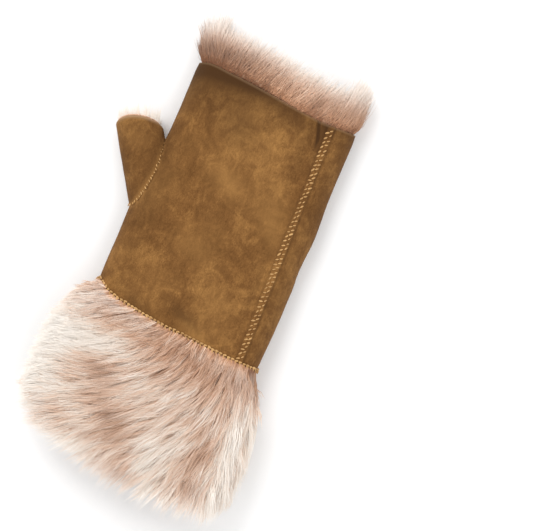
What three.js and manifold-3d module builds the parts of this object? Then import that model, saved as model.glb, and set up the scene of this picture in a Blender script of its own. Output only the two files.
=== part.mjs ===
// A fingerless shearling mitten with a deep fur cuff, lying flat on a table with its upper face to the sky.
// The hand is one piece of hide wrapped round and closed by a side seam, with a thumb set into its edge.
// The hide's own wool lines the hand and the thumb and stands out past both hems, and a long-haired cuff
// is sewn to the wrist end.
//
// X runs across the hand with the thumb on the negative side, Y runs from the cuff to the fingers, Z is up.
// The origin is on the flat underside, halfway between the cuff seam and the finger hem.
import * as THREE from 'three';
import { mergeVertices } from 'three/addons/utils/BufferGeometryUtils.js';
import Module from 'manifold-3d';

const wasm = await Module();
wasm.setup();

// Driving sizes, in millimetres and degrees
const handLength = 162; // cuff seam to finger hem, down the middle
const handWidth = 114; // across the hand as it lies
const sideRadius = 14; // of the rounded sides, which is half the thickness there
const crownHeight = 6; // how far the upper face swells above its sides
const hideThickness = 2;
const woolDepth = 6; // pile inside the hand
const seamGap = 0.3; // between one piece and the next
const sideSeamAcross = 42; // from the middle of the hand to the side seam, halfway along
const sideSeamLean = 2.1; // degrees by which the side seam runs out towards the cuff

const thumbLength = 45; // from its root at the edge of the hand to the middle of its hem
const thumbWidth = 29.5;
const thumbDepth = 27; // its thickness at the hem
const thumbAngle = 33; // degrees outwards from the hand's length
const thumbTuck = 25; // how far its shape runs on inside the hand before it is cut away
const thumbRise = 0.5; // under the thumb's hem, off the table
const thumbRootRise = 1.2; // of its root above the middle of the hand's side
const thumbWoolDepth = 3.6;

const cuffLength = 80; // of the cuff's hide, without the hair past its edge
const cuffFurDepth = 17; // of the hair round the sides
const cuffUnderDepth = 6.5; // of the hair pressed flat beneath, which also lifts the wrist
const cuffLockLength = 34;
const cuffLockWidth = 20;
const cuffLockDepth = 8;

const fingerFringeLength = 31; // wool standing past the finger hem
const fingerLockWidth = 15;
const thumbFringeLength = 15;
const thumbLockWidth = 9;

// How finely the faceted surfaces are cut
const arcSteps = 6; // round each side
const topSteps = 12; // across the upper face
const underSteps = 6;
const handRings = 12;
const thumbSteps = 16;
const thumbRings = 6;
const cuffRings = 6;
const lockSides = 4;
const lockRings = 3;

// Sections of the hand from the cuff seam, 0, to the finger hem, 1. The sides are shares of half the
// hand's width, the radius and crown are shares of sideRadius and crownHeight, and lift is a share of
// cuffUnderDepth.
const handSections = [
  { along: 0.0, thumbSide: 1.02, outerSide: 1.01, radius: 0.95, crown: 0.7, lift: 1.0 },
  { along: 0.16, thumbSide: 1.03, outerSide: 1.02, radius: 0.97, crown: 0.9, lift: 0.45 },
  { along: 0.34, thumbSide: 1.045, outerSide: 1.015, radius: 1.0, crown: 1.0, lift: 0.0 },
  { along: 0.43, thumbSide: 1.05, outerSide: 1.0, radius: 1.0, crown: 1.0, lift: 0.0 },
  { along: 0.55, thumbSide: 1.0, outerSide: 1.015, radius: 1.0, crown: 0.95, lift: 0.0 },
  { along: 0.72, thumbSide: 0.965, outerSide: 0.985, radius: 0.98, crown: 0.85, lift: 0.0 },
  { along: 1.0, thumbSide: 0.975, outerSide: 0.975, radius: 0.93, crown: 0.8, lift: 0.0 },
];

// Sections of the cuff's hide from the seam, 0, to its lower edge, 1. They are shares of what the hand
// has at the seam.
const cuffSections = [
  { along: 0.0, spread: 1.0, radius: 1.0, crown: 1.0, lift: 1.0 },
  { along: 0.45, spread: 1.05, radius: 1.12, crown: 1.0, lift: 1.0 },
  { along: 1.0, spread: 1.09, radius: 1.22, crown: 0.9, lift: 1.0 },
];

// How far the cuff seam and the finger hem run ahead of straight lines, as shares of the hand's length.
// Across runs from the thumb side, -1, to the outer side, 1.
const edgeCurves = [
  { across: -1.0, seam: 0.072, hem: 0.005 },
  { across: -0.84, seam: 0.04, hem: 0.019 },
  { across: -0.6, seam: 0.023, hem: 0.015 },
  { across: -0.2, seam: 0.005, hem: 0.005 },
  { across: 0.2, seam: -0.001, hem: -0.01 },
  { across: 0.6, seam: -0.01, hem: -0.018 },
  { across: 1.0, seam: -0.0125, hem: -0.009 },
];

// Soft hollows in the upper face. Places and reaches are shares of half the hand's width across and of
// its length along, depths are shares of crownHeight, and turn is in degrees.
const handHollows = [
  { across: 0.55, along: 0.93, acrossReach: 0.07, alongReach: 0.16, turn: 3, depth: 0.35 },
  { across: 0.6, along: 0.62, acrossReach: 0.11, alongReach: 0.26, turn: 2, depth: 0.22 },
  { across: 0.37, along: 0.11, acrossReach: 0.2, alongReach: 0.05, turn: 25, depth: 0.26 },
  { across: -0.4, along: 0.38, acrossReach: 0.24, alongReach: 0.17, turn: -12, depth: 0.22 },
  { across: -0.28, along: 0.95, acrossReach: 0.25, alongReach: 0.07, turn: 0, depth: 0.18 },
];

// The thumb from its root, 0, to its hem, 1, as shares of thumbWidth. Its depth passes from the hand's
// thickness to thumbDepth by the share in the last column.
const thumbSections = [
  { along: 0.0, width: 0.98, fromHand: 1.0 },
  { along: 0.5, width: 1.0, fromHand: 0.6 },
  { along: 1.0, width: 1.0, fromHand: 0.0 },
];
const thumbRootAcross = -0.88; // share of half the hand's width
const thumbRootAlong = 0.458; // share of the hand's length
const thumbRootDepth = 0.77; // share of the hand's thickness at its side
const thumbHemSlant = -0.25; // how fast the hem falls back towards the crotch
const thumbHemLean = 0.35; // how fast the hem runs ahead towards the upper face

// How the hair on the cuff deepens from the seam to the tips, as shares of cuffFurDepth. Under is the
// share that stands out from the upper face, which lies flatter than the sides.
const cuffFurRise = [
  { along: 0.0, depth: 0.25 },
  { along: 0.12, depth: 0.66 },
  { along: 0.3, depth: 0.9 },
  { along: 0.6, depth: 1.0 },
  { along: 1.35, depth: 0.72 },
];
const cuffUpperShare = 0.82;
const cuffCoatShare = 0.45; // depth of the dense coat under the locks

// Rows of locks on the cuff: where each row grows along the hide, how many stand in it, its length as a
// share of cuffLockLength and how far it is turned round from the row above, in lock widths.
const cuffLockRows = [
  { along: 0.05, count: 14, length: 0.95, turn: 0.0 },
  { along: 0.34, count: 15, length: 1.1, turn: 0.45 },
  { along: 0.63, count: 15, length: 1.1, turn: 0.1 },
  { along: 0.93, count: 16, length: 1.0, turn: 0.6 },
];

const arcShare = 0.085; // of the way round a section that each quarter of its sides takes
const half = 0.5;
const degrees = Math.PI / 180;

const clamp01 = (value) => THREE.MathUtils.clamp(value, 0, 1);

// Reads a column of a table at any place, along a smooth curve through its rows.
function read(rows, key, at, column) {
  const last = rows.length - 1;
  let i = 0;
  while (i < last - 1 && rows[i + 1][key] <= at) i += 1;
  const slopeAt = (row) => {
    const before = rows[Math.max(row - 1, 0)];
    const after = rows[Math.min(row + 1, last)];
    return (after[column] - before[column]) / (after[key] - before[key]);
  };
  const span = rows[i + 1][key] - rows[i][key];
  const t = clamp01((at - rows[i][key]) / span);
  const t2 = t * t;
  const t3 = t2 * t;
  return (2 * t3 - 3 * t2 + 1) * rows[i][column]
    + (t3 - 2 * t2 + t) * span * slopeAt(i)
    + (3 * t2 - 2 * t3) * rows[i + 1][column]
    + (t3 - t2) * span * slopeAt(i + 1);
}

function handSection(along) {
  return {
    left: read(handSections, 'along', along, 'thumbSide') * handWidth * half,
    right: read(handSections, 'along', along, 'outerSide') * handWidth * half,
    radius: read(handSections, 'along', along, 'radius') * sideRadius,
    crown: read(handSections, 'along', along, 'crown') * crownHeight,
    lift: Math.max(read(handSections, 'along', along, 'lift'), 0) * cuffUnderDepth,
  };
}

function cuffSection(along) {
  const wrist = handSection(0);
  const spread = read(cuffSections, 'along', along, 'spread');
  return {
    left: wrist.left * spread,
    right: wrist.right * spread,
    radius: wrist.radius * read(cuffSections, 'along', along, 'radius'),
    crown: wrist.crown * read(cuffSections, 'along', along, 'crown'),
    lift: wrist.lift * read(cuffSections, 'along', along, 'lift'),
  };
}

// A point on a flattened tube's section, set in by inset, or out where inset is negative. Share runs once
// round from the middle of the outer side, over the top. Under scales what stands out below.
function onSection(section, share, inset, under = 1) {
  const t = share - Math.floor(share);
  const flat = half - 2 * arcShare;
  const angle = 90 * clamp01(t / arcShare)
    + 180 * clamp01((t - half + arcShare) / (2 * arcShare))
    + 90 * clamp01((t - 1 + arcShare) / arcShare);
  const slide = 1 - 2 * clamp01((t - arcShare) / flat) + 2 * clamp01((t - half - arcShare) / flat);
  const radius = section.radius - inset;
  const reach = (section.left + section.right) * half - section.radius;
  const rise = Math.sin(angle * degrees);
  const depth = rise < 0 ? section.radius - inset * under : radius;
  const across = slide * reach + radius * Math.cos(angle * degrees);
  const swell = 1 - (across / (reach + section.radius - Math.min(inset, 0))) ** 2;
  return {
    x: (section.right - section.left) * half + across,
    z: section.lift + section.radius + depth * rise + section.crown * Math.max(rise, 0) * swell,
    rise,
  };
}

const acrossShare = (x) => THREE.MathUtils.clamp(x / (handWidth * half), -1, 1);
const seamY = (x) => handLength * (read(edgeCurves, 'across', acrossShare(x), 'seam') - half);
const hemY = (x) => handLength * (read(edgeCurves, 'across', acrossShare(x), 'hem') + half);

function hollowAt(x, along) {
  return handHollows.reduce((sum, hollow) => {
    const away = new THREE.Vector2(
      x - hollow.across * handWidth * half,
      (along - hollow.along) * handLength,
    ).rotateAround(new THREE.Vector2(), -hollow.turn * degrees);
    const far = Math.hypot(
      away.x / (hollow.acrossReach * handWidth * half),
      away.y / (hollow.alongReach * handLength),
    );
    return sum + hollow.depth * crownHeight * Math.exp(-far * far);
  }, 0);
}

function handPoint(share, along, inset) {
  const { x, z, rise } = onSection(handSection(along), share, inset);
  const y = THREE.MathUtils.lerp(seamY(x), hemY(x), along);
  return new THREE.Vector3(x, y, z - hollowAt(x, along) * Math.max(rise, 0));
}

// Out is how far the point stands above the cuff's hide, in the hair.
function cuffPoint(share, along, out) {
  const under = cuffUnderDepth / cuffFurDepth;
  const { x, z } = onSection(cuffSection(along), share, -out, under);
  return new THREE.Vector3(x, seamY(x) - seamGap - along * cuffLength, z);
}

const thumbAxis = new THREE.Vector3(-Math.sin(thumbAngle * degrees), Math.cos(thumbAngle * degrees), 0);
const thumbSide = new THREE.Vector3(thumbAxis.y, -thumbAxis.x, 0);
const upwards = new THREE.Vector3(0, 0, 1);

// Share runs once round the thumb from its crotch side over the top, and along may pass 1 for its wool.
function thumbPoint(share, along, inset) {
  const fromHand = read(thumbSections, 'along', along, 'fromHand');
  const width = read(thumbSections, 'along', along, 'width') * thumbWidth;
  const depth = THREE.MathUtils.lerp(thumbDepth, 2 * sideRadius * thumbRootDepth, fromHand);
  const height = THREE.MathUtils.lerp(thumbDepth * half + thumbRise, sideRadius + thumbRootRise, fromHand);
  const angle = share * 2 * Math.PI;
  const side = (width * half - inset) * Math.cos(angle);
  const up = (depth * half - inset) * Math.sin(angle);
  const hem = clamp01(along) * (thumbHemSlant * side + thumbHemLean * up);
  const forward = THREE.MathUtils.lerp(-thumbTuck, thumbLength, along) + hem;
  return new THREE.Vector3(
    thumbRootAcross * handWidth * half,
    (thumbRootAlong - half) * handLength,
    height,
  ).addScaledVector(thumbAxis, forward).addScaledVector(thumbSide, side).addScaledVector(upwards, up);
}

// Ways round a hand or cuff section: even steps on each side and on each face
function sectionShares() {
  const stretches = [
    { from: -arcShare, to: arcShare, steps: arcSteps },
    { from: arcShare, to: half - arcShare, steps: topSteps },
    { from: half - arcShare, to: half + arcShare, steps: arcSteps },
    { from: half + arcShare, to: 1 - arcShare, steps: underSteps },
  ];
  return stretches.flatMap(({ from, to, steps }) => (
    Array.from({ length: steps }, (unused, i) => THREE.MathUtils.lerp(from, to, i / steps))
  ));
}

const evenShares = (count) => Array.from({ length: count }, (unused, i) => i / count);
const evenSteps = (from, to, count) => (
  Array.from({ length: count }, (unused, i) => THREE.MathUtils.lerp(from, to, i / (count - 1)))
);

// A closed solid from its corners and triangles, turned so that its faces point out
function closedSolid(points, triangles) {
  const volume = triangles.reduce((sum, [a, b, c]) => (
    sum + points[a].dot(points[b].clone().cross(points[c]))
  ), 0);
  const facing = volume < 0 ? triangles.map(([a, b, c]) => [a, c, b]) : triangles;
  const geometry = new THREE.BufferGeometry().setFromPoints(points).setIndex(facing.flat());
  return solidOf(geometry);
}

function solidOf(geometry) {
  const bare = geometry.clone();
  bare.deleteAttribute('normal');
  bare.deleteAttribute('uv');
  const merged = mergeVertices(bare);
  return new wasm.Manifold(new wasm.Mesh({
    numProp: 3,
    vertProperties: merged.attributes.position.array,
    triVerts: new Uint32Array(merged.index.array),
  }));
}

// The quads between one ring of corners and the next, as triangles
function band(first, second, count) {
  return Array.from({ length: count }, (unused, i) => {
    const next = (i + 1) % count;
    return [
      [first + i, first + next, second + next],
      [first + i, second + next, second + i],
    ];
  }).flat();
}

// A hollow sleeve between two sets of rings
function sleeve(outer, inner) {
  const count = outer[0].length;
  const loop = [...outer, ...[...inner].reverse()];
  const triangles = loop.flatMap((ring, i) => band(i * count, ((i + 1) % loop.length) * count, count));
  return closedSolid(loop.flat(), triangles);
}

// A solid that fills a set of rings, closed at both ends
function filled(rings) {
  const count = rings[0].length;
  const points = rings.flat();
  const triangles = rings.slice(1).flatMap((ring, i) => band(i * count, (i + 1) * count, count));
  [rings[0], rings.at(-1)].forEach((ring, end) => {
    const middle = ring.reduce((sum, point) => sum.add(point), new THREE.Vector3()).divideScalar(count);
    const start = end ? (rings.length - 1) * count : 0;
    points.push(middle);
    for (let i = 0; i < count; i += 1) {
      const pair = [start + i, start + ((i + 1) % count)];
      triangles.push(end ? [pair[0], pair[1], points.length - 1] : [pair[1], pair[0], points.length - 1]);
    }
  });
  return closedSolid(points, triangles);
}

// A lock of hair or wool: a flat leaf that follows its path and draws to a point
function lock(path, across, width, depth) {
  const tip = path.at(-1);
  const rings = path.slice(0, -1).map((point, i) => {
    const forward = path[i + 1].clone().sub(path[Math.max(i - 1, 0)]).normalize();
    const side = across.clone().addScaledVector(forward, -across.dot(forward)).normalize();
    const up = side.clone().cross(forward);
    const taper = Math.sqrt(Math.cos((i / (path.length - 1)) * Math.PI * half));
    return evenShares(lockSides).map((share) => point.clone()
      .addScaledVector(side, Math.cos(share * 2 * Math.PI) * width * half * taper)
      .addScaledVector(up, Math.sin(share * 2 * Math.PI) * depth * half * taper));
  });
  const points = [...rings.flat(), tip];
  const triangles = rings.slice(1).flatMap((ring, i) => band(i * lockSides, (i + 1) * lockSides, lockSides));
  const last = (rings.length - 1) * lockSides;
  for (let i = 0; i < lockSides; i += 1) {
    triangles.push([last + i, last + ((i + 1) % lockSides), points.length - 1]);
  }
  for (let i = 1; i < lockSides - 1; i += 1) triangles.push([0, i + 1, i]);
  return closedSolid(points, triangles);
}

const lockSteps = evenSteps(0, 1, lockRings + 1);

// Builds a lock from a function that gives its points from root, 0, to tip, 1, and one beside it.
function lockAlong(pointAt, beside, width, depth) {
  return lock(lockSteps.map(pointAt), beside.clone().sub(pointAt(0)), width, depth);
}

const handShares = sectionShares();
const handRing = (along, inset) => handShares.map((share) => handPoint(share, along, inset));
const handRingsOf = (inset, from = 0, to = 1) => (
  evenSteps(from, to, handRings).map((along) => handRing(along, inset))
);
const thumbShares = evenShares(thumbSteps);
const thumbRing = (along, inset) => thumbShares.map((share) => thumbPoint(share, along, inset));
const thumbRingsOf = (inset) => evenSteps(0, 1, thumbRings).map((along) => thumbRing(along, inset));
const past = 0.05; // share by which a cutting shape runs past what it cuts

const woolOuterInset = hideThickness + seamGap;
const woolInnerInset = woolOuterInset + woolDepth;
const thumbWoolInnerInset = woolOuterInset + thumbWoolDepth;

// What lies below the surface that the mitten rests on
const table = solidOf(new THREE.BoxGeometry(
  3 * (handWidth + thumbLength),
  3 * (handLength + cuffLength + cuffLockLength),
  2 * cuffFurDepth,
).translate(0, 0, -cuffFurDepth));

const handCavity = filled(handRingsOf(hideThickness, -past, 1 + past));

// The hide of the hand, open at both ends, slit along its side seam and holed for the thumb
function makeHandPanel() {
  const seamX = (along) => sideSeamAcross + Math.tan(sideSeamLean * degrees) * (half - along) * handLength;
  const alongs = evenSteps(-past, 1 + past, handRings);
  const height = 2 * sideRadius + crownHeight + cuffUnderDepth;
  const slit = filled(alongs.map((along) => [[-1, 0], [1, 0], [1, 1], [-1, 1]].map(([side, up]) => (
    new THREE.Vector3(
      seamX(along) + side * seamGap * half,
      (along - half) * handLength * (1 + 2 * past),
      sideRadius + cuffUnderDepth * (1 - clamp01(along)) + up * height,
    )
  ))));
  return sleeve(handRingsOf(0), handRingsOf(hideThickness))
    .subtract(slit)
    .subtract(filled(thumbRingsOf(-seamGap)));
}

function makeThumbPanel() {
  return sleeve(thumbRingsOf(0), thumbRingsOf(hideThickness)).subtract(handCavity);
}

// The wool that lines the hand and stands out past the finger hem in locks
function makeHandWool() {
  const lining = sleeve(handRingsOf(woolOuterInset), handRingsOf(woolInnerInset));
  const count = Math.round((2 * handWidth + Math.PI * sideRadius) / fingerLockWidth);
  const middle = (woolOuterInset + woolInnerInset) * half;
  const locks = evenShares(count).map((share, i) => {
    const reach = fingerFringeLength * (i % 2 ? 1 : 0.88);
    const root = 1 - (woolDepth / handLength);
    const pointAt = (k) => {
      const spread = middle - woolDepth * Math.sin(k * Math.PI * half) * (i % 2 ? 0.9 : 0.5);
      const base = handPoint(share + 0.25 / count, Math.min(root + k, 1), spread);
      const down = handPoint(share, 1, middle).z > sideRadius * half ? 0 : 1;
      return base.setY(base.y + k * reach).setZ(Math.max(base.z, down * middle));
    };
    return lockAlong(pointAt, handPoint(share + past, root, middle), fingerLockWidth, woolDepth);
  });
  const hide = sleeve(...[-seamGap, woolOuterInset].map((inset) => (
    [...handRingsOf(inset), handRing(1 + seamGap / handLength, inset)]
  )));
  const throat = filled(thumbRingsOf(thumbWoolInnerInset));
  return wasm.Manifold.union([lining, ...locks]).subtract(hide).subtract(throat).subtract(table);
}

function makeThumbWool() {
  const lining = sleeve(thumbRingsOf(woolOuterInset), thumbRingsOf(thumbWoolInnerInset));
  const count = Math.round(Math.PI * (thumbWidth + thumbDepth) * half / thumbLockWidth);
  const middle = (woolOuterInset + thumbWoolInnerInset) * half;
  const root = 1 - thumbWoolDepth / (thumbLength + thumbTuck);
  const locks = evenShares(count).map((share, i) => {
    const reach = thumbFringeLength * (i % 2 ? 1 : 0.8);
    const pointAt = (k) => {
      const spread = middle - thumbWoolDepth * Math.sin(k * Math.PI * half) * 0.5;
      return thumbPoint(share, Math.min(root + k, 1), spread).addScaledVector(thumbAxis, k * reach);
    };
    return lockAlong(pointAt, thumbPoint(share + past, root, middle), thumbLockWidth, thumbWoolDepth);
  });
  const hide = sleeve(...[-seamGap, woolOuterInset].map((inset) => (
    [...thumbRingsOf(inset), thumbRing(1 + seamGap / thumbLength, inset)]
  )));
  return wasm.Manifold.union([lining, ...locks]).subtract(hide).subtract(handCavity);
}

const furDepthAt = (share, along) => {
  const facesUp = Math.max(Math.sin(share * 2 * Math.PI), 0);
  return cuffFurDepth * read(cuffFurRise, 'along', along, 'depth')
    * THREE.MathUtils.lerp(1, cuffUpperShare, facesUp);
};

// The cuff's hide and its dense coat, with the outer form of the long hair in overlapping locks
function makeFurCuff() {
  const cuffRingsOf = (outAt, from = 0, to = 1) => evenSteps(from, to, cuffRings).map((along) => (
    handShares.map((share) => cuffPoint(share, along, outAt(share, along)))
  ));
  const coat = sleeve(
    cuffRingsOf((share, along) => furDepthAt(share, along) * cuffCoatShare),
    cuffRingsOf(() => -hideThickness),
  );
  const locks = cuffLockRows.flatMap((row) => evenShares(row.count).map((place) => {
    const share = place + row.turn / row.count;
    const reach = (cuffLockLength * row.length) / cuffLength;
    const pointAt = (k) => {
      const along = row.along + k * reach;
      const out = furDepthAt(share, along) * THREE.MathUtils.lerp(cuffCoatShare * half, 1, Math.sqrt(k));
      return cuffPoint(share, along, out);
    };
    return lockAlong(pointAt, cuffPoint(share + past, row.along, 0), cuffLockWidth, cuffLockDepth);
  }));
  const hollow = filled(cuffRingsOf(() => -hideThickness, -past, 1 + cuffLockLength / cuffLength));
  const wide = handWidth + 4 * cuffFurDepth;
  const deep = 2 * (sideRadius + cuffFurDepth + crownHeight + cuffUnderDepth);
  const steps = evenSteps(-wide * half, wide * half, 4 * cuffRings);
  const outline = new THREE.Shape([
    ...steps.map((x) => new THREE.Vector2(x, seamY(x) - seamGap)),
    new THREE.Vector2(wide * half, handLength),
    new THREE.Vector2(-wide * half, handLength),
  ]);
  const hand = new THREE.ExtrudeGeometry(outline, { depth: 2 * deep, bevelEnabled: false })
    .translate(0, 0, -deep);
  return wasm.Manifold.union([coat, ...locks])
    .subtract(hollow)
    .subtract(table)
    .subtract(solidOf(hand));
}

const suede = new THREE.MeshStandardMaterial({ color: 0x8f6537, roughness: 0.95, metalness: 0 });
const wool = new THREE.MeshStandardMaterial({ color: 0xd9bfae, roughness: 1, metalness: 0 });
const fur = new THREE.MeshStandardMaterial({ color: 0xd3b7a4, roughness: 1, metalness: 0 });

function makeMesh(name, solid, material) {
  const { vertProperties, triVerts } = solid.getMesh();
  const geometry = new THREE.BufferGeometry()
    .setAttribute('position', new THREE.BufferAttribute(vertProperties, 3))
    .setIndex(new THREE.BufferAttribute(triVerts, 1));
  geometry.computeVertexNormals();
  const mesh = new THREE.Mesh(geometry, material);
  mesh.name = name;
  return mesh;
}

const mitten = new THREE.Group();
mitten.add(
  makeMesh('hand_panel', makeHandPanel(), suede),
  makeMesh('thumb_panel', makeThumbPanel(), suede),
  makeMesh('hand_wool', makeHandWool(), wool),
  makeMesh('thumb_wool', makeThumbWool(), wool),
  makeMesh('fur_cuff', makeFurCuff(), fur),
);

export default mitten;
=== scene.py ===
# A fingerless shearling mitten with a long-haired fur cuff, lying flat on a pale table.
# x runs across the hand away from the thumb, y from the cuff to the fingers, z up. Lengths are in metres.
import math

import bpy
import numpy as np
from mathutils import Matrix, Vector, kdtree, noise
from mathutils.bvhtree import BVHTree


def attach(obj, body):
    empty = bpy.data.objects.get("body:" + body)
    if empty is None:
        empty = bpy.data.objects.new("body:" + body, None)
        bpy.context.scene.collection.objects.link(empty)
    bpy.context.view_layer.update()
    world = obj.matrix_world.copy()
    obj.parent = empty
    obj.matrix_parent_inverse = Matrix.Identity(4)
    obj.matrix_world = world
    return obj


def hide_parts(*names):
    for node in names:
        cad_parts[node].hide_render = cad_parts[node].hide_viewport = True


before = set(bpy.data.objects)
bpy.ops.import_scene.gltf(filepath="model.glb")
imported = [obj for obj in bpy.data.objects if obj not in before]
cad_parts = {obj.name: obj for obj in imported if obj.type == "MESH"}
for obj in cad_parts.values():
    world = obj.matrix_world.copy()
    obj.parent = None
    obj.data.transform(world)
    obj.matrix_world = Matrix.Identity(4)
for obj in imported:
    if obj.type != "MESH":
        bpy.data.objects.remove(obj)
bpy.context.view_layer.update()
bpy.ops.object.select_all(action="DESELECT")
mm = 0.001
lowest = 0.5 * mm  # nothing soft lies closer to the table
dice = np.random.default_rng(11)

# the forms that every piece is laid on

hand = {
    "length": 162 * mm,
    "width": 114 * mm,
    "sideRadius": 14 * mm,
    "crown": 6 * mm,
    "hide": 2 * mm,
    "rim": 0.4 * mm,  # how far the edges of all hide are rounded
    "wool": 6 * mm,
    "gap": 0.3 * mm,
    "lift": 6.5 * mm,  # under the wrist, which lies on the cuff's hair
    "arc": 0.085,  # share of the way round that each quarter of the sides takes
    "sections": {
        "along": [0.0, 0.16, 0.34, 0.43, 0.55, 0.72, 1.0],
        "thumbSide": [1.02, 1.03, 1.045, 1.05, 1.0, 0.965, 0.975],
        "outerSide": [1.01, 1.02, 1.015, 1.0, 1.015, 0.985, 0.975],
        "radius": [0.95, 0.97, 1.0, 1.0, 1.0, 0.98, 0.93],
        "crown": [0.7, 0.9, 1.0, 1.0, 0.95, 0.85, 0.8],
        "lift": [1.0, 0.45, 0.0, 0.0, 0.0, 0.0, 0.0],
    },
    "edges": {
        "across": [-1.0, -0.84, -0.6, -0.2, 0.2, 0.6, 1.0],
        "seam": [0.072, 0.04, 0.023, 0.005, -0.001, -0.01, -0.0125],
        "hem": [0.005, 0.019, 0.015, 0.005, -0.01, -0.018, -0.009],
    },
    "hollows": [  # across, along, reach across, reach along, turn in degrees, depth in crowns
        (0.55, 0.93, 0.07, 0.16, 3, 0.35),
        (0.6, 0.62, 0.11, 0.26, 2, 0.22),
        (0.37, 0.11, 0.2, 0.05, 25, 0.26),
        (-0.4, 0.38, 0.24, 0.17, -12, 0.22),
        (-0.28, 0.95, 0.25, 0.07, 0, 0.18),
    ],
    "sideSeam": 42 * mm,
    "sideSeamLean": 2.1,
}
cuff = {
    "length": 80 * mm,
    "hair": 17 * mm,
    "underHair": 6.5 * mm,
    "sections": {
        "along": [0.0, 0.45, 1.0],
        "spread": [1.0, 1.05, 1.09],
        "radius": [1.0, 1.12, 1.22],
        "crown": [1.0, 1.0, 0.9],
    },
    "rise": {"along": [0.0, 0.12, 0.3, 0.6, 1.35], "depth": [0.25, 0.66, 0.9, 1.0, 0.72]},
}
thumb = {
    "length": 45 * mm,
    "width": 29.5 * mm,
    "depth": 27 * mm,
    "angle": 33,
    "tuck": 25 * mm,
    "rise": 0.5 * mm,
    "rootRise": 1.2 * mm,
    "sections": {"along": [0.0, 0.5, 1.0], "width": [0.98, 1.0, 1.0], "fromHand": [1.0, 0.6, 0.0]},
    "rootAcross": -0.88,
    "rootAlong": 0.458,
    "rootDepth": 0.77,
    "slant": -0.25,
    "lean": 0.35,
    "bow": 1.8 * mm,
}


def read(table, column, at):
    # a column of a table at any place in its first column, along a smooth curve through the rows
    keys, values = np.array(next(iter(table.values())), float), np.array(table[column], float)
    at = np.asarray(at, float)
    i = np.clip(np.searchsorted(keys, at, side="right") - 1, 0, len(keys) - 2)
    slope = np.empty_like(values)
    slope[1:-1] = (values[2:] - values[:-2]) / (keys[2:] - keys[:-2])
    slope[0] = (values[1] - values[0]) / (keys[1] - keys[0])
    slope[-1] = (values[-1] - values[-2]) / (keys[-1] - keys[-2])
    span = keys[i + 1] - keys[i]
    t = np.clip((at - keys[i]) / span, 0, 1)
    start = (2 * t**3 - 3 * t**2 + 1) * values[i] + (t**3 - 2 * t**2 + t) * span * slope[i]
    return start + (3 * t**2 - 2 * t**3) * values[i + 1] + (t**3 - t**2) * span * slope[i + 1]


def hump(away, reach):
    # 1 in the middle, falling softly to 0 on both sides
    return np.exp(-((away / reach) ** 2))


def ramped(value, start, over):
    # 0 up to start, then rising to 1 at start + over, which may also lie before start
    return np.clip((value - start) / over, 0, 1)


def spots(x, y, rows):
    # soft spots added up: x, y, reach in x and y, turn in degrees, how much
    total = 0 * x
    for middleX, middleY, reachX, reachY, turn, much in rows:
        c, s = math.cos(math.radians(turn)), math.sin(math.radians(turn))
        dx, dy = x - middleX, y - middleY
        total = total + much * hump(np.hypot((dx * c + dy * s) / reachX, (dy * c - dx * s) / reachY), 1)
    return total


def handSection(along):
    rows, half = hand["sections"], hand["width"] / 2
    return {
        "left": read(rows, "thumbSide", along) * half,
        "right": read(rows, "outerSide", along) * half,
        "radius": read(rows, "radius", along) * hand["sideRadius"],
        "crown": read(rows, "crown", along) * hand["crown"],
        "lift": np.maximum(read(rows, "lift", along), 0) * hand["lift"],
    }


def cuffSection(along):
    section, rows = handSection(0.0), cuff["sections"]
    spread = read(rows, "spread", along)
    section["left"] = section["left"] * spread
    section["right"] = section["right"] * spread
    section["radius"] = section["radius"] * read(rows, "radius", along)
    section["crown"] = section["crown"] * read(rows, "crown", along)
    return section


def onSection(section, share, inset, under=1.0):
    # places round a flattened section, from its outer side over the top, and how far each faces up;
    # under is the part of the inset that the underside gets
    t = share - np.floor(share)
    arc = hand["arc"]
    flat = 0.5 - 2 * arc
    turn = 90 * np.clip(t / arc, 0, 1) + 180 * np.clip((t - 0.5 + arc) / (2 * arc), 0, 1)
    turn = np.radians(turn + 90 * np.clip((t - 1 + arc) / arc, 0, 1))
    slide = 1 - 2 * np.clip((t - arc) / flat, 0, 1) + 2 * np.clip((t - 0.5 - arc) / flat, 0, 1)
    reach = (section["left"] + section["right"]) / 2 - section["radius"]
    rise = np.sin(turn)
    depth = section["radius"] - np.where(rise < 0, inset * under, inset)
    across = slide * reach + (section["radius"] - inset) * np.cos(turn)
    swell = 1 - (across / (reach + section["radius"] - np.minimum(inset, 0))) ** 2
    x = (section["right"] - section["left"]) / 2 + across
    z = section["lift"] + section["radius"] + depth * rise
    return x, z + section["crown"] * np.maximum(rise, 0) * swell, rise


def edgeY(edge, end, x):
    across = np.clip(x / (hand["width"] / 2), -1, 1)
    return hand["length"] * (read(hand["edges"], edge, across) + end)


def seamY(x):
    return edgeY("seam", -0.5, x)


def hemY(x):
    return edgeY("hem", 0.5, x)


def hollow(x, along):
    half, length = hand["width"] / 2, hand["length"]
    rows = np.array(hand["hollows"]) * (half, length, half, length, 1, hand["crown"])
    return spots(x, along * length, rows)


def handPoints(share, along, inset):
    x, z, rise = onSection(handSection(along), share, inset)
    low, high = seamY(x), hemY(x)
    y = low + (high - low) * along
    return np.stack([x, y, z - hollow(x, along) * np.maximum(rise, 0)], -1)


def cuffPoints(share, along, out):
    x, z, rise = onSection(cuffSection(along), share, -out, cuff["underHair"] / cuff["hair"])
    return np.stack([x, seamY(x) - hand["gap"] - along * cuff["length"], z], -1)


thumbAxis = np.array([-math.sin(math.radians(thumb["angle"])), math.cos(math.radians(thumb["angle"])), 0])
thumbSide = np.array([thumbAxis[1], -thumbAxis[0], 0])


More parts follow.
